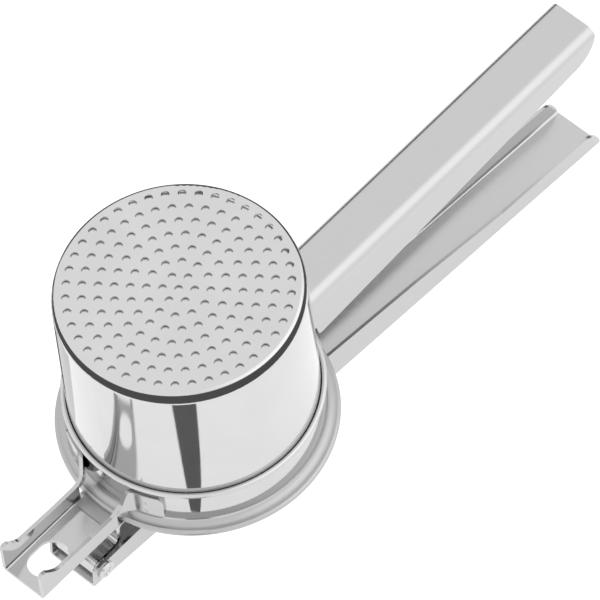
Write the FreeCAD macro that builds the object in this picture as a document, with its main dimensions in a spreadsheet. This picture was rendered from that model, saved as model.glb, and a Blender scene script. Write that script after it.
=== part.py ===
import FreeCAD, Part
import math
import os
import re

import Sketcher

# Potato ricer in sheet stainless steel, lying on the back of its pressing lever.
# The perforated cup, its ring, the fixed handle, the pot rest and the hinge tongue turn
# together about the hinge pin. They are drawn upright, with the cup's axis along Z, and
# their Placement leans them to the closed position. Every design frame starts on the
# hinge pin, except the plunger's, which starts on the plunger pin: X runs towards the
# free ends of the handles and Z away from the lever's back.

SIZES = {
    # sheets
    "sheet": 1.5, "lever_sheet": 1.2, "cup_wall": 0.8, "ring_sheet": 0.9, "bend_thinning": 0.4,
    # perforated cup
    "cup_axis": 61.5, "base_top": 97.4, "base_radius": 44.45, "mouth_radius": 44.9,
    "edge_inset": 2.4, "edge_drop": 5.0, "edge_top": 1.8,
    "rim_radius": 47.7, "rim_bottom": 16.2, "rim_bend": 1.6,
    "hole_pitch": 5.6, "hole_radius": 1.5, "hole_turn": 6.9,
    # ring that holds the cup, and its lug over the pot rest
    "band_radius": 45.9, "bead_level": 35.4, "bead_radius": 0.95, "flange_top": 18.1,
    "flange_fillet": 3.0, "roll_centre": 49.25, "roll_radius": 1.25,
    "lug_front": 6.5, "lug_back": 13.3, "lug_half": 7.6, "lug_bottom": 15.2,
    "lug_sheet": 1.0, "lug_corner": 1.6,
    # curved tabs that hug the ring, with two spot welds each
    "tab_gap": 0.05, "tab_bottom": 21.4, "tab_top": 33.3, "tab_corner": 2.2,
    "weld_radius": 1.3, "weld_rise": 1.0, "weld_low": 23.8, "weld_high": 29.0,
    # fixed handle
    "handle_half": 10.4, "handle_top": 38.75, "handle_start": 105.0, "handle_end": 261.7,
    "handle_root": 113.6, "root_edge": 15.8, "end_edge": 25.9, "handle_bend": 4.0,
    "root_slope": 1.2,
    "handle_corner": 12.0, "handle_tab_near": 9.0, "handle_tab_far": 28.0,
    "handle_flare": 6.0, "handle_weld": 22.5,
    # pot rest at the hinge end, with its hanging slot
    "rest_half": 9.9, "rest_bottom": 13.7, "rest_front": -28.1, "rest_back": 16.0,
    "rest_bend": 1.9, "rest_wall_end": 10.0, "rest_tab_near": 11.5, "rest_tab_far": 29.5,
    "rest_flare": 6.0, "rest_weld": 21.0,
    # upper edge of the pot rest's walls: a hook at the front, a dip, a waist, and up to the tabs
    "hook_top": 29.0, "hook_face": 26.8, "hook_tip": 0.6, "hook_back": 2.9, "hook_fall": 0.6,
    "hook_corner": 0.9, "dip_top": 23.5, "dip_from": 5.0, "dip_rise": 2.6, "dip_to": 8.0,
    "dip_corner": 4.0, "waist_top": 22.7, "waist_front": -2.5, "waist_back": 9.0,
    "sweep_along": 12.8, "sweep_rise": 2.6, "sweep_end": 15.0, "sweep_corner": 1.8,
    "slot_corner": 5.85,
    "slot_front": -23.6, "slot_back": -7.6, "slot_half": 5.9,
    # hinge tongue
    "tongue_half": 8.7, "tongue_back": 17.0, "tongue_drop": 10.3, "tongue_neck": 3.3,
    "upper_bend": 3.4, "lower_bend": 4.1,
    "knuckle_radius": 4.05, "running_gap": 0.05,
    # pressing lever
    "pin_height": 5.85, "lever_half": 11.0, "lever_front": -5.2, "lever_end": 260.4,
    "lever_bend": 1.8, "lever_corner": 9.0, "nose_height": 9.6, "nose_corner": 2.6,
    "belly_height": 16.2, "belly_front": 70.0, "belly_back": 112.0, "belly_fall": 0.4,
    "waist_height": 13.4, "waist_at": 162.0, "grip_height": 9.6, "grip_from": 208.0,
    # rivets and the spacers on them
    "hinge_pin": 2.4, "plunger_pin": 2.2, "head_radius": 3.6, "head_height": 1.3,
    "head_dish": 0.5, "head_chamfer": 0.6,
    "spacer_radius": 3.9, "spacer_gap": 0.15,
    # plunger
    "pivot_along": 60.5, "pivot_height": 9.5, "plate_radius": 41.8, "plate_sheet": 1.2,
    "plate_skirt": 5.0, "plate_gap": 0.3, "plate_edge": 1.6,
    "yoke_half": 8.4, "yoke_width": 15.0, "yoke_bend": 3.0,
    # lean of the cup's axis to the lever when the press is closed
    "closed_lean": 5.336,
}
RINGS_OF_HOLES = 7

doc = FreeCAD.newDocument("potato_ricer")
sheet = doc.addObject("Spreadsheet::Sheet", "Sizes")
for row, (name, number) in enumerate(SIZES.items(), start=1):
    sheet.set(f"A{row}", name)
    sheet.set(f"B{row}", str(number))
    sheet.setAlias(f"B{row}", name)
doc.recompute()

X, Y, Z = FreeCAD.Vector(1, 0, 0), FreeCAD.Vector(0, 1, 0), FreeCAD.Vector(0, 0, 1)
CLOSE = 0.02                 # mm within which an edge counts as being at a place
CORNER_SPREAD = 0.2          # degrees within which a corner counts as being at an angle


def bound(text):
    """The expression as objects outside the sheet have to write it."""
    return re.sub(r"[a-z_]+", lambda word: "Sizes." + word.group() if word.group() in SIZES
                  else word.group(), text)


def value(text):
    return float(sheet.evalExpression(text))


# ------------------------------------------------------------------ sketches and features

def new_body(label):
    body = doc.addObject("PartDesign::Body", label)
    body.Label = label
    doc.recompute()
    return body


def new_sketch(body, name, role, shift=("0", "0", "0"), turn="0", axis=Z):
    """A sketch on one of the body's origin planes, shifted and turned in that plane's axes."""
    plane = next(item for item in body.Origin.OriginFeatures if item.Role == role)
    sketch = body.newObject("Sketcher::SketchObject", name)
    sketch.AttachmentSupport = (plane, [""])
    sketch.MapMode = "FlatFace"
    base = FreeCAD.Vector(*[value(text) for text in shift])
    sketch.AttachmentOffset = FreeCAD.Placement(base, FreeCAD.Rotation(axis, value(turn)))
    for letter, text in zip("xyz", shift):
        sketch.setExpression(f".AttachmentOffset.Base.{letter}", bound(text))
    return sketch


def cup_sketch(body, name, turn="0"):
    """An upright sketch through the cup's axis: across is the radius, up is Z."""
    return new_sketch(body, name, "XZ_Plane", ("cup_axis", "0", "0"), turn, Y)


def pin_down(sketch, edge, end, place):
    """Hold one point of the sketch at a place given by two expressions."""
    for kind, text in zip(("DistanceX", "DistanceY"), place):
        number = sketch.addConstraint(Sketcher.Constraint(kind, -1, 1, edge, end, value(text)))
        sketch.setExpression(f"Constraints[{number}]", bound(text))


def outline(sketch, places):
    """A closed outline. A place is (across, up); a third entry is the radius of an arc to the
    next place, positive where it turns left and negative where it turns right."""
    first = sketch.GeometryCount
    points = [FreeCAD.Vector(value(place[0]), value(place[1]), 0) for place in places]
    count = len(points)
    ends = []
    for index, start in enumerate(points):
        finish = points[(index + 1) % count]
        if len(places[index]) == 2:
            sketch.addGeometry(Part.LineSegment(start, finish))
            ends.append((1, 2))
            continue
        radius = value(places[index][2])
        chord = finish - start
        rise = math.sqrt(radius ** 2 - (chord.Length / 2) ** 2) * math.copysign(1, radius)
        centre = (start + finish) / 2 + FreeCAD.Vector(-chord.y, chord.x, 0) / chord.Length * rise
        begin, stop = (start, finish) if radius > 0 else (finish, start)
        angles = [math.atan2(point.y - centre.y, point.x - centre.x) for point in (begin, stop)]
        edge = sketch.addGeometry(Part.ArcOfCircle(Part.Circle(centre, Z, abs(radius)), *angles))
        number = sketch.addConstraint(Sketcher.Constraint("Radius", edge, abs(radius)))
        sketch.setExpression(f"Constraints[{number}]", bound(f"abs({places[index][2]})"))
        ends.append((1, 2) if radius > 0 else (2, 1))
    for index in range(count):
        after = (index + 1) % count
        sketch.addConstraint(Sketcher.Constraint("Coincident", first + index, ends[index][1],
                                                 first + after, ends[after][0]))
    for index, place in enumerate(places):
        pin_down(sketch, first + index, ends[index][0], place[:2])


def circle(sketch, place, radius):
    centre = FreeCAD.Vector(value(place[0]), value(place[1]), 0)
    edge = sketch.addGeometry(Part.Circle(centre, Z, value(radius)))
    pin_down(sketch, edge, 3, place)
    number = sketch.addConstraint(Sketcher.Constraint("Radius", edge, value(radius)))
    sketch.setExpression(f"Constraints[{number}]", bound(radius))


def compute(item):
    """Recompute, and stop at the first feature that fails."""
    doc.recompute()
    if "Invalid" in item.State or "Error" in item.State or item.Shape.isNull():
        raise RuntimeError(f"{item.Label} did not compute: {item.State}")
    return item


def feature(body, kind, sketch, **settings):
    item = body.newObject("PartDesign::" + kind, sketch.Name + "_" + kind.lower())
    item.Profile = sketch
    for key, setting in settings.items():
        if key in ("Length", "Angle"):
            item.setExpression(key, bound(setting))
        else:
            setattr(item, key, setting)
    return compute(item)


def pad(body, sketch, length):
    return feature(body, "Pad", sketch, Length=length, Midplane=True)


def pocket(body, sketch, length="400"):
    return feature(body, "Pocket", sketch, Length=length, Midplane=True)


def revolve(body, sketch, axis="V_Axis", kind="Revolution", angle="360"):
    return feature(body, kind, sketch, ReferenceAxis=(sketch, [axis]), Midplane=True,
                   Angle=angle)


def round_edges(body, name, radius, test):
    """Round the tip's edges whose middle and end-to-end vector pass a test."""
    tip = body.Tip
    names = []
    for number, edge in enumerate(tip.Shape.Edges, start=1):
        middle = edge.valueAt((edge.FirstParameter + edge.LastParameter) / 2)
        ends = edge.Vertexes[-1].Point - edge.Vertexes[0].Point
        if test(middle, ends):
            names.append(f"Edge{number}")
    if not names:
        raise RuntimeError(f"{body.Label}: {name} finds no edge to round")
    fillet = body.newObject("PartDesign::Fillet", f"{body.Label}_{name}")
    fillet.Base = (tip, names)
    fillet.setExpression("Radius", bound(radius))
    compute(fillet)


def near(number, text):
    return abs(number - value(text)) < CLOSE


def lies_along(direction, ends):
    return ends.Length > CLOSE and abs(ends.dot(direction)) > 0.999 * ends.Length


def round_corners(body, name, radius, places):
    """Round the corners across Y that stand at the given X and Z."""
    round_edges(body, name, radius, lambda middle, ends: lies_along(Y, ends) and any(
        near(middle.x, across) and near(middle.z, up) for across, up in places))


def channel(body, half, web, thick, start, end, opens, height, bend):
    """A U channel along X, bent from sheet. Its web is at one height, and it opens up (1) or
    down (-1) with walls of a height that later cuts bring down."""
    sketch = new_sketch(body, body.Label + "_section", "YZ_Plane", ("0", "0", f"({start} + {end}) / 2"))
    inner = f"({half} - {thick})"
    inside = f"({web} + {opens} * {thick})"
    far = f"({web} + {opens} * ({height}))"
    outline(sketch, [(f"-{half}", web), (half, web), (half, far), (inner, far), (inner, inside),
                     (f"-{inner}", inside), (f"-{inner}", far), (f"-{half}", far)])
    pad(body, sketch, f"{end} - ({start})")
    round_edges(body, "outer_bends", bend, lambda middle, ends: lies_along(X, ends)
                and near(abs(middle.y), half) and near(middle.z, web))
    round_edges(body, "inner_bends", f"{bend} - {thick} + bend_thinning", lambda middle, ends:
                lies_along(X, ends) and near(abs(middle.y), inner) and near(middle.z, inside))


def from_axis(middle):
    """Distance of a point from the cup's axis."""
    return math.hypot(middle.x - value("cup_axis"), middle.y)


def at(radius, level):
    """Picks circles round the cup's axis with this radius at this level."""
    return lambda middle, ends: (near(middle.z, level)
                                 and abs(from_axis(middle) - value(radius)) < CLOSE)


def weld_tabs(body, near_angle, far_angle, weld_angle, flare, half, facing, bent_inside=False):
    """Tabs that hug the ring each side of the channel, its flare into them and the spot welds."""
    trim = cup_sketch(body, body.Label + "_trim")
    band, bead = "(band_radius + tab_gap)", "(band_radius + bead_radius + 0.2)"
    floor, ceiling = "(flange_top + 2)", "(handle_top + 2)"
    outline(trim, [("0.1", floor), (band, floor), (band, "tab_top + 0.2"), (bead, "tab_top + 0.2"),
                   (bead, ceiling), ("0.1", ceiling)])
    revolve(body, trim, kind="Groove")
    for side, sign in (("left", 1), ("right", -1)):
        turn = value(f"{facing} + {sign} * ({near_angle} + {far_angle}) / 2")
        sector = cup_sketch(body, f"{body.Label}_tab_{side}", str(turn))
        outer = "(band_radius + tab_gap + sheet)"
        outline(sector, [(band, "tab_bottom"), (outer, "tab_bottom"), (outer, "tab_top"),
                         (band, "tab_top")])
        revolve(body, sector, angle=f"{far_angle} - {near_angle}")
    shell = f"({band} + sheet)"

    def where(across, radius):
        """Upright edges of the walls at this half width, where they meet this radius."""
        return lambda middle, ends: (lies_along(Z, ends) and near(abs(middle.y), across) and abs(
            from_axis(middle) - value(radius)) < CLOSE and middle.z > value("tab_bottom"))

    round_edges(body, "flare", flare, where(half, shell))
    if bent_inside:
        round_edges(body, "flare_inside", f"{flare} + sheet", where(f"{half} - sheet", band))

    def free_corner(middle, ends):
        lean = math.degrees(math.atan2(abs(middle.y), abs(middle.x - value("cup_axis"))))
        return (abs(lean - value(far_angle)) < CORNER_SPREAD and abs(ends.z) < CLOSE
                and near(ends.Length, "sheet"))

    round_edges(body, "tab_corners", "tab_corner", free_corner)
    for side in (1, -1):
        for level in ("weld_low", "weld_high"):
            dimple = body.newObject("PartDesign::SubtractiveSphere", body.Label + "_weld")
            dimple.setExpression("Radius", bound("weld_radius"))
            reach = f"({shell} + weld_rise)"
            place = (f"cup_axis + {reach} * cos({facing} + {weld_angle})",
                     f"{side} * {reach} * sin({weld_angle})", level)
            for letter, text in zip("xyz", place):
                dimple.setExpression(f"Placement.Base.{letter}", bound(text))
            compute(dimple)


# ------------------------------------------------------------------ pieces that turn with the cup

def perforated_cup():
    body = new_body("perforated_cup")
    section = cup_sketch(body, "cup_section")
    side = "((edge_inset^2 + (edge_drop - edge_top)^2 - edge_top^2) / (2 * (edge_inset - edge_top)))"
    inner_top, inner_side = "(edge_top - cup_wall)", f"({side} - cup_wall)"
    flat_end, edge_start = "base_radius - edge_inset", "base_top - edge_drop"

    def join(radius):
        """Where the base edge's small arc, of this radius, meets its large one."""
        return (f"{flat_end} + {radius} * ({side} - edge_inset) / ({side} - edge_top)",
                f"base_top - edge_top + {radius} * (edge_drop - edge_top) / ({side} - edge_top)")

    outline(section, [
        ("0", "base_top"), (flat_end, "base_top", "-edge_top"), (*join("edge_top"), f"-{side}"),
        ("base_radius", edge_start), ("mouth_radius", "bead_level"),
        ("mouth_radius", "rim_bottom + cup_wall"), ("rim_radius", "rim_bottom + cup_wall"),
        ("rim_radius", "rim_bottom"), ("mouth_radius - cup_wall", "rim_bottom"),
        ("mouth_radius - cup_wall", "bead_level"),
        ("base_radius - cup_wall", edge_start, inner_side), (*join(inner_top), inner_top),
        (flat_end, "base_top - cup_wall"), ("0", "base_top - cup_wall")])
    revolve(body, section)
    round_edges(body, "rim_inside", "rim_bend + cup_wall",
                at("mouth_radius - cup_wall", "rim_bottom"))
    round_edges(body, "rim_outside", "rim_bend",
                at("mouth_radius", "rim_bottom + cup_wall"))
    spot = ("cup_axis", "0", "base_top")
    middle = new_sketch(body, "hole_0", "XY_Plane", spot)
    circle(middle, ("0", "0"), "hole_radius")
    pocket(body, middle, "cup_wall * 4")
    for ring in range(1, RINGS_OF_HOLES + 1):
        sketch = new_sketch(body, f"hole_{ring}", "XY_Plane", spot, "hole_turn")
        circle(sketch, (f"{ring} * hole_pitch", "0"), "hole_radius")
        hole = pocket(body, sketch, "cup_wall * 4")
        pattern = body.newObject("PartDesign::PolarPattern", f"ring_{ring}_of_holes")
        pattern.Originals = [hole]
        pattern.Axis = (sketch, ["N_Axis"])
        pattern.Occurrences = 6 * ring
        body.Tip = pattern
        compute(pattern)
    return body


def holder_ring():
    body = new_body("holder_ring")
    inner, under = "band_radius - ring_sheet", "flange_top - ring_sheet"
    section = cup_sketch(body, "ring_section")
    outline(section, [(inner, "bead_level"), ("band_radius", "bead_level"),
                      ("band_radius", "flange_top"), ("roll_centre", "flange_top"),
                      ("roll_centre", under), (inner, under)])
    revolve(body, section)
    round_edges(body, "flange_outside", "flange_fillet", at("band_radius", "flange_top"))
    round_edges(body, "flange_inside", "flange_fillet + ring_sheet", at(inner, under))
    bead = cup_sketch(body, "ring_bead")
    circle(bead, ("band_radius", "bead_level"), "bead_radius")
    revolve(body, bead)
    roll = cup_sketch(body, "ring_roll")
    circle(roll, ("roll_centre", "flange_top - roll_radius"), "roll_radius")
    revolve(body, roll)
    lug = new_sketch(body, "ring_lug", "XY_Plane", ("0", "0", "lug_bottom + lug_sheet / 2"))
    outline(lug, [("lug_front", "-lug_half"), ("lug_back", "-lug_half"), ("lug_back", "lug_half"),
                  ("lug_front", "lug_half")])
    pad(body, lug, "lug_sheet")
    round_edges(body, "lug_corners", "lug_corner", lambda middle, ends: lies_along(Z, ends)
                and near(middle.x, "lug_front"))
    return body


def fixed_handle():
    body = new_body("fixed_handle")
    channel(body, "handle_half", "handle_top", "sheet", "handle_start", "handle_end", "-1",
            "handle_top", "handle_bend")
    below = new_sketch(body, "handle_edge", "XZ_Plane")
    outline(below, [
        ("handle_start - 5", "-10"), ("handle_end + 5", "-10"),
        ("handle_end + 5", "end_edge + handle_corner"),
        ("handle_end", "end_edge + handle_corner", "-handle_corner"),
        ("handle_end - handle_corner", "end_edge"), ("handle_root", "root_edge"),
        ("handle_root - root_slope", "tab_bottom"), ("handle_start - 5", "tab_bottom")])
    pocket(body, below)
    round_corners(body, "root_corners", "lug_corner", [("handle_root", "root_edge")])
    weld_tabs(body, "handle_tab_near", "handle_tab_far", "handle_weld", "handle_flare",
              "handle_half", "0")
    return body


def pot_rest():
    body = new_body("pot_rest")
    channel(body, "rest_half", "rest_bottom", "sheet", "rest_front", "rest_back + slot_half * 2", "1",
            "tab_top - rest_bottom", "rest_bend")
    behind = new_sketch(body, "rest_back_edge", "XZ_Plane")
    outline(behind, [
        ("rest_wall_end", "rest_bottom + sheet"), ("rest_back", "rest_bottom + sheet"),
        ("rest_back", "0"), ("cup_axis", "0"), ("cup_axis", "tab_bottom"),
        ("rest_wall_end", "tab_bottom")])
    pocket(body, behind)
    weld_tabs(body, "rest_tab_near", "rest_tab_far", "rest_weld", "rest_flare", "rest_half", "180",
              bent_inside=True)
    over = new_sketch(body, "rest_edge", "XZ_Plane")
    tip, back = "rest_front + hook_tip", "rest_front + hook_back"
    dip, sweep = "rest_front + dip_to", "waist_top + sweep_rise"
    outline(over, [
        ("rest_front - 5", "cup_axis"), ("rest_front - 5", "hook_face"), ("rest_front", "hook_face"),
        (tip, "hook_top"), (back, "hook_top - hook_fall"),
        ("rest_front + dip_from", "dip_top + dip_rise"), (dip, "dip_top"),
        ("waist_front", "waist_top"), ("waist_back", "waist_top"), ("sweep_along", sweep),
        ("sweep_end", "tab_top"), ("cup_axis", "tab_top"), ("cup_axis", "cup_axis")])
    pocket(body, over)
    round_corners(body, "hook", "hook_corner", [(tip, "hook_top"), (back, "hook_top - hook_fall")])
    round_corners(body, "dip", "dip_corner", [(dip, "dip_top"), ("waist_back", "waist_top")])
    round_corners(body, "sweep", "sweep_corner", [("sweep_along", sweep)])
    slot = new_sketch(body, "hanging_slot", "XY_Plane", ("0", "0", "rest_bottom"))
    outline(slot, [("slot_front", "-slot_half"), ("slot_back", "-slot_half"),
                   ("slot_back", "slot_half"), ("slot_front", "slot_half")])
    pocket(body, slot, "sheet * 3")
    round_edges(body, "slot_ends", "slot_corner", lambda middle, ends: lies_along(Z, ends)
                and near(abs(middle.y), "slot_half")
                and (near(middle.x, "slot_front") or near(middle.x, "slot_back")))
    return body


def hinge_tongue():
    body = new_body("hinge_tongue")
    strip = new_sketch(body, "tongue_strip", "XZ_Plane")
    top, back, half = "rest_bottom", "tongue_back", "sheet / 2"
    front, rear = f"tongue_drop - {half}", f"tongue_drop + {half}"
    above, under = f"tongue_neck + {half}", f"tongue_neck - {half}"
    outline(strip, [(back, top), (front, top), (front, above), ("0", above), ("0", under),
                    (rear, under), (rear, f"{top} - sheet"), (back, f"{top} - sheet")])
    pad(body, strip, "tongue_half * 2")
    round_corners(body, "upper_outside", "upper_bend", [(front, top)])
    round_corners(body, "upper_inside", "upper_bend - sheet", [(rear, f"{top} - sheet")])
    round_corners(body, "lower_inside", "lower_bend - sheet", [(front, above)])
    round_corners(body, "lower_outside", "lower_bend", [(rear, under)])
    knuckle = new_sketch(body, "knuckle", "XZ_Plane")
    circle(knuckle, ("0", "0"), "knuckle_radius")
    pad(body, knuckle, "tongue_half * 2")
    bore = new_sketch(body, "knuckle_bore", "XZ_Plane")
    circle(bore, ("0", "0"), "hinge_pin + running_gap")
    pocket(body, bore)
    return body


# ------------------------------------------------------------------ pieces fixed to the lever

def pressing_lever():
    body = new_body("pressing_lever")
    back = "-pin_height"
    channel(body, "lever_half", back, "lever_sheet", "lever_front", "lever_end", "1",
            "belly_height * 2", "lever_bend")
    over = new_sketch(body, "lever_edge", "XZ_Plane")
    crest = [("belly_front", "belly_height"), ("belly_back", "belly_height - belly_fall"),
             ("waist_at", "waist_height"), ("grip_from", "grip_height")]
    crest = [(across, f"{up} - pin_height") for across, up in crest]
    outline(over, [("lever_front - 5", "60"), ("lever_front - 5", "nose_height - pin_height"),
                   ("lever_front", "nose_height - pin_height")] + crest
            + [("lever_end - lever_corner", "grip_height - pin_height", "-lever_corner"),
               ("lever_end", "grip_height - pin_height - lever_corner"),
               ("lever_end + 5", "grip_height - pin_height - lever_corner"), ("lever_end + 5", "60")])
    pocket(body, over)
    round_corners(body, "nose", "nose_corner", [("lever_front", "nose_height - pin_height")])
    holes = new_sketch(body, "pin_holes", "XZ_Plane")
    circle(holes, ("0", "0"), "hinge_pin")
    circle(holes, ("pivot_along", "pivot_height - pin_height"), "plunger_pin")
    pocket(body, holes)
    return body


def rivet(label, radius, place):
    """A solid rivet through both walls of the lever, with a dished head at each end."""
    body = new_body(label)
    shift = ("0", place[1], place[0])
    section = new_sketch(body, label + "_section", "YZ_Plane", shift)
    head = "(lever_half + head_height)"
    outline(section, [
        (f"-{head} + head_dish", "0"), (f"-{head} + head_dish", "head_radius * 0.45"),
        (f"-{head}", "head_radius * 0.55"), (f"-{head}", "head_radius * 0.75"),
        (f"-{head} + head_chamfer", "head_radius"), ("-lever_half", "head_radius"),
        ("-lever_half", radius), ("lever_half", radius), ("lever_half", "head_radius"),
        (f"{head} - head_chamfer", "head_radius"), (head, "head_radius * 0.75"),
        (head, "head_radius * 0.55"), (f"{head} - head_dish", "head_radius * 0.45"),
        (f"{head} - head_dish", "0")])
    revolve(body, section, "H_Axis")
    return body


def spacers(label, pin, inner_half, place):
    """Two thin washers on a rivet, between the moving piece and the lever's walls."""
    rings = []
    near_end = f"({inner_half} + spacer_gap)"
    length = f"(lever_half - lever_sheet - spacer_gap - {near_end})"
    for side, start in (("left", near_end), ("right", f"-{near_end} - {length}")):
        parts = []
        for kind, radius in (("disc", "spacer_radius"), ("bore", f"{pin} + running_gap")):
            item = doc.addObject("Part::Cylinder", f"{label}_{kind}_{side}")
            item.setExpression("Radius", bound(radius))
            item.setExpression("Height", bound(length))
            item.Placement.Rotation = FreeCAD.Rotation(X, -90)
            for letter, text in zip("xyz", (place[0], start, place[1])):
                item.setExpression(f"Placement.Base.{letter}", bound(text))
            parts.append(item)
        ring = doc.addObject("Part::Cut", f"{label}_{side}")
        ring.Base, ring.Tool = parts
        rings.append(ring)
    pair = doc.addObject("Part::Compound", label)
    pair.Label = label
    pair.Links = rings
    doc.recompute()
    return pair


# ------------------------------------------------------------------ plunger, from its own pin

PLUNGER_TOP = ("(base_top - cup_wall - plate_gap + pivot_along * sin(closed_lean)"
               " - (pivot_height - pin_height) * cos(closed_lean))")


def plunger_plate():
    body = new_body("plunger_plate")
    section = new_sketch(body, "plate_section", "XZ_Plane")
    low = f"{PLUNGER_TOP} - plate_sheet"
    inner = "plate_radius - plate_sheet"
    skirt = f"{PLUNGER_TOP} - plate_skirt"
    outline(section, [("0", PLUNGER_TOP), ("plate_radius", PLUNGER_TOP), ("plate_radius", skirt),
                      (inner, skirt), (inner, low), ("0", low)])
    revolve(body, section)
    round_edges(body, "edge", "plate_edge", lambda middle, ends: near(middle.z, PLUNGER_TOP)
                and abs(math.hypot(middle.x, middle.y) - value("plate_radius")) < CLOSE)
    return body


def plunger_yoke():
    body = new_body("plunger_yoke")
    web = f"({PLUNGER_TOP} - plate_sheet)"
    foot = "-yoke_width / 2"
    inner = "(yoke_half - sheet)"
    section = new_sketch(body, "yoke_section", "YZ_Plane")
    outline(section, [("-yoke_half", foot), ("-yoke_half", web), ("yoke_half", web),
                      ("yoke_half", foot), (inner, foot), (inner, f"{web} - sheet"),
                      (f"-{inner}", f"{web} - sheet"), (f"-{inner}", foot)])
    pad(body, section, "yoke_width")
    round_edges(body, "shoulders", "yoke_bend", lambda middle, ends: lies_along(X, ends)
                and near(middle.z, web))
    round_edges(body, "inside_shoulders", "yoke_bend - sheet", lambda middle, ends:
                lies_along(X, ends) and near(middle.z, f"{web} - sheet"))
    round_corners(body, "feet", "yoke_width / 2 - 0.05", [("yoke_width / 2", foot),
                                                          ("-yoke_width / 2", foot)])
    bore = new_sketch(body, "yoke_bore", "XZ_Plane")
    circle(bore, ("0", "0"), "plunger_pin + running_gap")
    pocket(body, bore)
    return body


# ------------------------------------------------------------------ assembly

PIVOT = ("pivot_along", "pivot_height - pin_height")
with_cup = [perforated_cup(), holder_ring(), fixed_handle(), pot_rest(), hinge_tongue()]
with_lever = [pressing_lever(), rivet("hinge_pin_rivet", "hinge_pin", ("0", "0")),
              rivet("plunger_pin_rivet", "plunger_pin", PIVOT),
              spacers("hinge_washers", "hinge_pin", "tongue_half", ("0", "0")),
              spacers("plunger_washers", "plunger_pin", "yoke_half", PIVOT)]
with_plunger = [plunger_plate(), plunger_yoke()]
pieces = with_cup + with_lever + with_plunger


def place_all(shift):
    """Stand the lever's back on Z = 0, lean what belongs to the cup, and shift along X."""
    lean = FreeCAD.Rotation(Y, -value("closed_lean"))
    pin = FreeCAD.Vector(shift, 0, value("pin_height"))
    pivot = FreeCAD.Vector(shift + value("pivot_along"), 0, value("pivot_height"))
    for group, spot, turn in ((with_cup, pin, lean), (with_lever, pin, FreeCAD.Rotation()),
                              (with_plunger, pivot, lean)):
        for piece in group:
            piece.Placement = FreeCAD.Placement(spot, turn)
    doc.recompute()


place_all(0)
whole = FreeCAD.BoundBox()
for piece in pieces:
    whole.add(piece.Shape.optimalBoundingBox(False, False))
place_all(-(whole.XMin + whole.XMax) / 2)

for item in doc.Objects:
    if "Invalid" in item.State or "Error" in item.State:
        raise RuntimeError(f"{item.Label} did not compute: {item.State}")
for piece in pieces:
    if piece.Shape.isNull() or not piece.Shape.isValid():
        raise RuntimeError(f"{piece.Label} has no valid shape")

os.makedirs("parts", exist_ok=True)
for piece in pieces:
    piece.Shape.exportStep(f"parts/{piece.Label}.step")
    box = piece.Shape.BoundBox
    print(f"{piece.Label}: {len(piece.Shape.Solids)} solid, {piece.Shape.Volume:.0f} mm3, "
          f"X {box.XMin:.1f}..{box.XMax:.1f} Y {box.YMin:.1f}..{box.YMax:.1f} "
          f"Z {box.ZMin:.1f}..{box.ZMax:.1f}")
pin = with_lever[0].Placement.Base
print(f"hinge pin at X {pin.x:.3f} Z {pin.z:.3f}, plunger pin at X "
      f"{pin.x + value('pivot_along'):.3f} Z {value('pivot_height'):.3f}")
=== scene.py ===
"""Looks, light and camera for the potato ricer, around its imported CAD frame. Metres, row frame."""
import math

import bpy
from mathutils import Matrix, Vector


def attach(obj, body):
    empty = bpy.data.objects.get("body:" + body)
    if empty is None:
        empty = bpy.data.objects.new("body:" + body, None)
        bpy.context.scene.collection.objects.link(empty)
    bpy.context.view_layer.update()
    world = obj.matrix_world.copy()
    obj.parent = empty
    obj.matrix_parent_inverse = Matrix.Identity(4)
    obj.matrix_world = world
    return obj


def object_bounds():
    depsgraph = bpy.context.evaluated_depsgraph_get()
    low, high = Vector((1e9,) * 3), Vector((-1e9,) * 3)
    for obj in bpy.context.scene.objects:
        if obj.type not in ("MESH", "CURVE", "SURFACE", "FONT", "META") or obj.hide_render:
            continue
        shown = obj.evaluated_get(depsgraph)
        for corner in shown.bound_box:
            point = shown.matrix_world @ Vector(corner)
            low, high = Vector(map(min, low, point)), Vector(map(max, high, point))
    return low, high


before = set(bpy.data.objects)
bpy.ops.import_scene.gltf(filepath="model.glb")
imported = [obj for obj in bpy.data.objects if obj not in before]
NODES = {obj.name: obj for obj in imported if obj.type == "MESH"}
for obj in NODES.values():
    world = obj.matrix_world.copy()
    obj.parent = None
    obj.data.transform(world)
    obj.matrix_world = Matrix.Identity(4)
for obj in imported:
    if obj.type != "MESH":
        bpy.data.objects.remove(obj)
cad_low, cad_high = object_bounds()

MM = 0.001
CUP_LEAN = math.radians(5.336)   # of the cup's axis from upright, towards -X at the perforated base
CUP_AXIS = Vector((-math.sin(CUP_LEAN), 0, math.cos(CUP_LEAN)))
ACROSS = Vector((0, 1, 0))       # across the handles

# --- camera: far away with a long lens, so that the perspective is as weak as in a product picture
CAMERA_AZIMUTH = math.radians(-46.462)
CAMERA_ELEVATION = math.radians(53.232)
CAMERA_ROLL = math.radians(-0.989)
CAMERA_DISTANCE = 3.320
CAMERA_LENS = 566.7
SENSOR_WIDTH = 36.0
AIM = Vector((-0.0067, -0.0043, 0.0501))
TOWARDS_CAMERA = Vector((math.sin(CAMERA_AZIMUTH), -math.cos(CAMERA_AZIMUTH), 0))   # level part

BLACK = (0, 0, 0, 1)
WHITE = (1, 1, 1, 1)


# --- small helpers for node trees

def new_material(name):
    material = bpy.data.materials.new(name)
    material.use_nodes = True
    return material, material.node_tree, material.node_tree.nodes["Principled BSDF"]


def feed(tree, socket, value):
    """Sets the socket to value if that is a number, and otherwise links value to it."""
    if isinstance(value, (int, float)):
        socket.default_value = value
    else:
        tree.links.new(value, socket)


def math_node(tree, operation, first, second):
    """A Math node. Each of first and second is a socket or a number."""
    node = tree.nodes.new("ShaderNodeMath")
    node.operation = operation
    feed(tree, node.inputs[0], first)
    feed(tree, node.inputs[1], second)
    return node.outputs[0]


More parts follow.
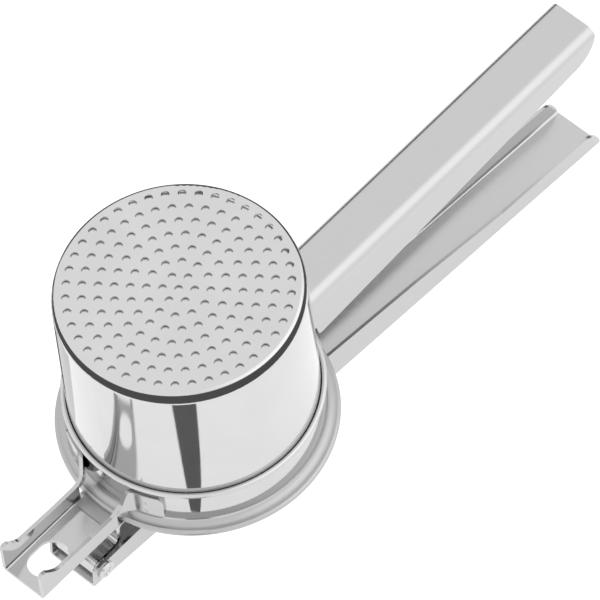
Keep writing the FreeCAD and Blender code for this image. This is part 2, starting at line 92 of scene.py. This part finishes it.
def mixed(tree, first, second, share):
    """share of first, and the rest of second."""
    return math_node(tree, "ADD", math_node(tree, "MULTIPLY", first, share),
                     math_node(tree, "MULTIPLY", second, 1 - share))


def chosen(tree, factor, first, second):
    """first where factor is 0, and second where it is 1. Each is a socket or a number."""
    node = tree.nodes.new("ShaderNodeMix")
    node.data_type = "FLOAT"
    for name, value in (("Factor", factor), ("A", first), ("B", second)):
        feed(tree, node.inputs[name], value)
    return node.outputs["Result"]


def mapped(tree, value, low, high, out_low, out_high, smooth=False):
    """value from the range low..high to the range out_low..out_high, clamped."""
    node = tree.nodes.new("ShaderNodeMapRange")
    node.interpolation_type = "SMOOTHSTEP" if smooth else "LINEAR"
    for name, number in (("From Min", low), ("From Max", high),
                         ("To Min", out_low), ("To Max", out_high)):
        node.inputs[name].default_value = number
    tree.links.new(value, node.inputs["Value"])
    return node.outputs["Result"]


def noise(tree, vector, scale, detail=3.0, distortion=0.0):
    node = tree.nodes.new("ShaderNodeTexNoise")
    node.inputs["Scale"].default_value = scale
    node.inputs["Detail"].default_value = detail
    node.inputs["Distortion"].default_value = distortion
    tree.links.new(vector, node.inputs["Vector"])
    return node.outputs["Fac"]


def stretched(tree, vector, scale, turn=(0, 0, 0)):
    node = tree.nodes.new("ShaderNodeMapping")
    node.inputs["Rotation"].default_value = turn
    node.inputs["Scale"].default_value = scale
    tree.links.new(vector, node.inputs["Vector"])
    return node.outputs["Vector"]


def dot_with(tree, vector, way):
    node = tree.nodes.new("ShaderNodeVectorMath")
    node.operation = "DOT_PRODUCT"
    node.inputs[1].default_value = way
    tree.links.new(vector, node.inputs[0])
    return node.outputs["Value"]


def object_place(tree):
    return tree.nodes.new("ShaderNodeTexCoord").outputs["Object"]


def set_bump(tree, shader, height, distance):
    bump = tree.nodes.new("ShaderNodeBump")
    bump.inputs["Strength"].default_value = 1.0
    bump.inputs["Distance"].default_value = distance
    tree.links.new(height, bump.inputs["Height"])
    tree.links.new(bump.outputs["Normal"], shader.inputs["Normal"])


def tinted(tree, shader, factor, dark, light):
    """Base colour between two greys, very slightly cold, by factor."""
    node = tree.nodes.new("ShaderNodeMix")
    node.data_type = "RGBA"
    node.inputs["A"].default_value = (dark, dark, dark + COLD, 1)
    node.inputs["B"].default_value = (light, light, light + COLD, 1)
    tree.links.new(factor, node.inputs["Factor"])
    tree.links.new(node.outputs["Result"], shader.inputs["Base Color"])


# --- materials

COLD = 0.002                     # how much bluer than grey the steel is

# polished steel
SMUDGE_SCALE, SMUDGE_DETAIL, SMUDGE_WARP = 45.0, 4.0, 0.6
SMUDGE_LOW, SMUDGE_HIGH = 0.3, 0.7    # the part of the smudge noise that makes the steel rougher
SMUDGE_SHADE = 0.9               # how bright the darkest smudge would be, against clean steel
SCRATCH_STRETCH = (1.0, 14.0, 14.0)   # the scratches run along X
SCRATCH_SCALE, SCRATCH_DETAIL = 260.0, 6.0
SCRATCH_DEPTH = 0.004 * MM
FLANGE_LEVEL = 0.0366            # along the cup's axis: below it the ring is rougher and its colour darkened as painted shade, above it polished
FLANGE_BLEND = 0.5 * MM          # half the height over which one turns into the other
DULLED = 0.32                    # roughness that the dull skin adds
FLANGE_PAINTED_SHADE = 0.22                  # painted shade: part of the light that the flange's colour takes away below that level

# satin steel
GRAIN_STRETCH = (0.035, 1.0, 1.0)     # the grain runs along the handle
GRAIN_SCALE, STREAK_SCALE, STREAK_DETAIL, PATCH_SCALE = 5200.0, 900.0, 5.0, 16.0
GRAIN_SHARE = 0.6                # the rest is streaks
BRUSHED_SHARE = 0.7              # of the roughness: the rest is patches
BRUSHED_LOW, BRUSHED_HIGH = 0.35, 0.65
SATIN_DARK, SATIN_LIGHT = 0.49, 0.525
SATIN_SMOOTH, SATIN_ROUGH = 0.22, 0.28
GRAIN_DEPTH = 0.002 * MM


def polished_steel(name, roughness=(0.035, 0.075), dulled_and_shaded_below=None, grey=0.615):
    """Mirror-polished stainless steel, with faint wiping marks and hair scratches.
    Below the given level it is rougher, for the unpolished skin of the rolled sheet, and its colour is
    darkened there as painted shade."""
    material, tree, shader = new_material(name)
    place = object_place(tree)
    smudge = noise(tree, place, SMUDGE_SCALE, SMUDGE_DETAIL, SMUDGE_WARP)
    scratches = noise(tree, stretched(tree, place, SCRATCH_STRETCH), SCRATCH_SCALE, SCRATCH_DETAIL)
    shader.inputs["Metallic"].default_value = 1.0
    spread = mapped(tree, smudge, SMUDGE_LOW, SMUDGE_HIGH, *roughness, smooth=True)
    shade = mapped(tree, smudge, 0.0, 1.0, SMUDGE_SHADE, 1.0)
    if dulled_and_shaded_below is not None:
        level = dot_with(tree, place, CUP_AXIS)
        dull_and_shade = mapped(tree, level, dulled_and_shaded_below - FLANGE_BLEND, dulled_and_shaded_below + FLANGE_BLEND, 1.0, 0.0)
        spread = math_node(tree, "ADD", spread, math_node(tree, "MULTIPLY", dull_and_shade, DULLED))
        # painted shade: the colour is darkened below the flange level
        shade = math_node(tree, "SUBTRACT", shade, math_node(tree, "MULTIPLY", dull_and_shade, FLANGE_PAINTED_SHADE))
    tinted(tree, shader, shade, 0.0, grey)
    tree.links.new(spread, shader.inputs["Roughness"])
    set_bump(tree, shader, scratches, SCRATCH_DEPTH)
    return material


def satin_steel(name, lean):
    """Finely brushed steel, with its grain along a handle that leans by that angle."""
    material, tree, shader = new_material(name)
    place = object_place(tree)
    along = stretched(tree, place, GRAIN_STRETCH, (0, lean, 0))
    grain = noise(tree, along, GRAIN_SCALE)
    streaks = noise(tree, along, STREAK_SCALE, STREAK_DETAIL)
    patches = noise(tree, place, PATCH_SCALE)
    brushed = mixed(tree, grain, streaks, GRAIN_SHARE)
    shader.inputs["Metallic"].default_value = 1.0
    tinted(tree, shader, brushed, SATIN_DARK, SATIN_LIGHT)
    spread = mixed(tree, brushed, patches, BRUSHED_SHARE)
    roughness = mapped(tree, spread, BRUSHED_LOW, BRUSHED_HIGH, SATIN_SMOOTH, SATIN_ROUGH)
    tree.links.new(roughness, shader.inputs["Roughness"])
    set_bump(tree, shader, brushed, GRAIN_DEPTH)
    return material


FINISHES = {
    "perforated_cup": polished_steel("cup_polished"),
    "holder_ring": polished_steel("ring_polished", dulled_and_shaded_below=FLANGE_LEVEL, grey=0.595),
    # the pot rest's lower grey is painted shade, darkening the whole part
    "pot_rest": polished_steel("rest_polished_painted_shade", roughness=(0.09, 0.15), grey=0.515),
    "hinge_tongue": polished_steel("tongue_polished", roughness=(0.10, 0.18)),
    "fixed_handle": satin_steel("handle_satin", -CUP_LEAN),
    "pressing_lever": satin_steel("lever_satin", 0.0),
    "hinge_pin_rivet": polished_steel("rivet_steel", roughness=(0.12, 0.20)),
    "plunger_pin_rivet": polished_steel("rivet_steel_inner", roughness=(0.12, 0.20)),
    "hinge_washers": polished_steel("washer_steel", roughness=(0.18, 0.28)),
    "plunger_washers": polished_steel("washer_steel_inner", roughness=(0.18, 0.28)),
    "plunger_plate": polished_steel("plate_steel", roughness=(0.10, 0.18)),
    "plunger_yoke": polished_steel("yoke_steel", roughness=(0.14, 0.24)),
}
for node_name, finish in FINISHES.items():
    mesh = NODES[node_name].data
    mesh.materials.clear()
    mesh.materials.append(finish)


# --- studio: white floor, soft light all round, and dark cards that only reflections see

SOFT_LIGHT = 1.45                # how bright the surroundings are to the camera and matt surfaces
SKY = 1.15                       # how bright they are in reflections
DARK = 0.11                      # the dark cards and the sky's far side, in reflections
DIM = 0.15                       # the dim card
GREY = 0.80                      # the grey card
GLOW = 0.5                       # added to the sky on the side of the big light
LIGHT_SIDE = Vector((0.43, -0.62, 0.66)).normalized()
GLOW_EDGE, GLOW_HEART = 0.60, 0.99    # cosine of the angle from there: where it starts and is full
FAR_FULL, FAR_EDGE = -0.80, -0.70     # cosine of the angle from the camera: where the sky is dark
LOW_FULL, LOW_EDGE = 0.40, 0.46       # sine of the height above the horizon: up to where it is dark

FLOOR_SIZE = 6.0
FLOOR_GAP = 0.1 * MM             # below the object
FLOOR_GREY = (0.2, 0.2, 0.2, 1)
FLOOR_GLOW = 1.0                 # the floor shines too, so that the object throws no shadow on it
CARD_LIFT = 0.2 * MM             # of the floor's cards
ONE_MIRROR = 1.5                 # between the ray depths after one mirror and after two

BASE_CENTRE = Vector((-0.0628, 0, 0.1085))   # middle of the perforated base
COLLAR_RADIUS = 0.0475           # a narrow dark collar round the base's edge, on the cup's axis, seen only in reflections: it paints a dark reflected band on the rim
COLLAR_STEPS = 96
COLLAR_LOW = -0.0077             # its levels, from the base's
COLLAR_HIGH_BEHIND, COLLAR_HIGH_IN_FRONT = -0.0006, 0.0006

FRONT_POINT = (-0.0955, -0.0357)      # on the floor, in front of the cup as the camera sees it
LEFT_POINT = (-0.0865, 0.0305)        # and to the left of it


def new_stage_mesh(name, points, faces, material):
    mesh = bpy.data.meshes.new(name)
    mesh.from_pydata(points, [], faces)
    mesh.materials.append(material)
    piece = bpy.data.objects.new(name, mesh)
    bpy.context.scene.collection.objects.link(piece)
    return piece


def only_in_reflections(piece):
    piece.visible_camera = False
    piece.visible_diffuse = False
    piece.visible_shadow = False
    piece.visible_transmission = False


def build_floor():
    material, _, shader = new_material("floor_white")
    shader.inputs["Base Color"].default_value = FLOOR_GREY
    shader.inputs["Roughness"].default_value = 1.0
    shader.inputs["Specular IOR Level"].default_value = 0.0
    shader.inputs["Emission Color"].default_value = WHITE
    shader.inputs["Emission Strength"].default_value = FLOOR_GLOW
    half, level = FLOOR_SIZE / 2, cad_low.z - FLOOR_GAP
    corners = [(x * half, y * half, level) for x, y in ((-1, -1), (1, -1), (1, 1), (-1, 1))]
    new_stage_mesh("floor", corners, [(0, 1, 2, 3)], material)


def first_mirror(tree):
    """1 for light that reaches the camera off one polished surface, 0 for light off two or more."""
    depth = tree.nodes.new("ShaderNodeLightPath").outputs["Ray Depth"]
    return math_node(tree, "LESS_THAN", depth, ONE_MIRROR)


def card(name, strength_in_mirror):
    """A material that is that bright in the first mirror, and as bright as the sky in later ones."""
    material, tree, shader = new_material(name)
    shader.inputs["Base Color"].default_value = BLACK
    shader.inputs["Specular IOR Level"].default_value = 0.0
    shader.inputs["Emission Color"].default_value = WHITE
    strength = mapped(tree, first_mirror(tree), 0.0, 1.0, SKY, strength_in_mirror)
    tree.links.new(strength, shader.inputs["Emission Strength"])
    return material


def build_collar(material):
    """A dark card round the base's edge, seen only in reflections, that paints a dark reflected band on
    the rim. It stands highest on the camera's side.
    It follows the cup, so that the cup never swings through it."""
    along = CUP_AXIS.cross(ACROSS)
    points = []
    for step in range(COLLAR_STEPS):
        turn = 2 * math.pi * step / COLLAR_STEPS
        way = -math.cos(turn) * along + math.sin(turn) * ACROSS
        in_front = max(0.0, way.dot(TOWARDS_CAMERA))
        high = COLLAR_HIGH_BEHIND + (COLLAR_HIGH_IN_FRONT - COLLAR_HIGH_BEHIND) * in_front
        rim = BASE_CENTRE + COLLAR_RADIUS * way
        points += [rim + level * CUP_AXIS for level in (COLLAR_LOW, high)]
    count = 2 * COLLAR_STEPS
    faces = [(i, (i + 2) % count, (i + 3) % count, i + 1) for i in range(0, count, 2)]
    collar = new_stage_mesh("collar", points, faces, material)
    only_in_reflections(collar)
    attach(collar, "cup_frame")


def floor_fan(name, material, point, turn, half_angle, near, far):
    """A card on the floor that spreads out from a point, between the distances near and far.
    turn is the direction of its middle from +X, in degrees."""
    level = cad_low.z + CARD_LIFT
    points = []
    for reach in (near, far):
        for side in (-1, 1):
            way = math.radians(turn + side * half_angle)
            points.append((point[0] + reach * math.cos(way), point[1] + reach * math.sin(way), level))
    only_in_reflections(new_stage_mesh(name, points, [(0, 1, 3, 2)], material))


def build_cards():
    """Cards that only reflections see. They give the polished cup its dark edges and its strip."""
    dark, dim, grey = card("card_dark", DARK), card("card_dim", DIM), card("card_grey", GREY)
    build_collar(dark)
    floor_fan("flag_front", dim, FRONT_POINT, turn=-136.8, half_angle=17.4, near=0.010, far=0.064)
    floor_fan("flag_behind", dark, LEFT_POINT, turn=55.0, half_angle=14.0, near=0.020, far=0.250)
    floor_fan("flag_side", grey, LEFT_POINT, turn=89.0, half_angle=20.0, near=0.020, far=0.250)


def build_world():
    """Plain white for the camera and for soft light, and a sky with a dark far side for reflections."""
    world = bpy.data.worlds.new("studio")
    bpy.context.scene.world = world
    world.use_nodes = True
    tree = world.node_tree
    background = tree.nodes["Background"]
    direction = tree.nodes.new("ShaderNodeTexCoord").outputs["Generated"]
    apart = tree.nodes.new("ShaderNodeSeparateXYZ")
    tree.links.new(direction, apart.inputs[0])
    to_light = dot_with(tree, direction, LIGHT_SIDE)
    glow = mapped(tree, to_light, GLOW_EDGE, GLOW_HEART, 0.0, GLOW, smooth=True)
    sky = math_node(tree, "ADD", glow, SKY)
    to_camera = dot_with(tree, direction, TOWARDS_CAMERA)
    far_side = mapped(tree, to_camera, FAR_FULL, FAR_EDGE, 1.0, 0.0, smooth=True)
    low_down = mapped(tree, apart.outputs["Z"], LOW_FULL, LOW_EDGE, 1.0, 0.0, smooth=True)
    dark_part = math_node(tree, "MULTIPLY", far_side, low_down)
    in_mirrors = chosen(tree, dark_part, sky, DARK)
    glossy = tree.nodes.new("ShaderNodeLightPath").outputs["Is Glossy Ray"]
    strength = chosen(tree, glossy, SOFT_LIGHT, in_mirrors)
    tree.links.new(strength, background.inputs["Strength"])
    background.inputs["Color"].default_value = WHITE


def build_camera():
    back = TOWARDS_CAMERA * math.cos(CAMERA_ELEVATION) + Vector((0, 0, math.sin(CAMERA_ELEVATION)))
    lens = bpy.data.cameras.new("camera")
    lens.lens = CAMERA_LENS
    lens.sensor_width = SENSOR_WIDTH
    camera = bpy.data.objects.new("camera", lens)
    place = Matrix.Translation(AIM + back * CAMERA_DISTANCE)
    turn = (-back).to_track_quat("-Z", "Y").to_matrix().to_4x4()
    camera.matrix_world = place @ turn @ Matrix.Rotation(CAMERA_ROLL, 4, "Z")
    bpy.context.scene.collection.objects.link(camera)
    bpy.context.scene.camera = camera


build_floor()
build_cards()
build_world()
build_camera()
bpy.context.scene.view_settings.view_transform = "Standard"
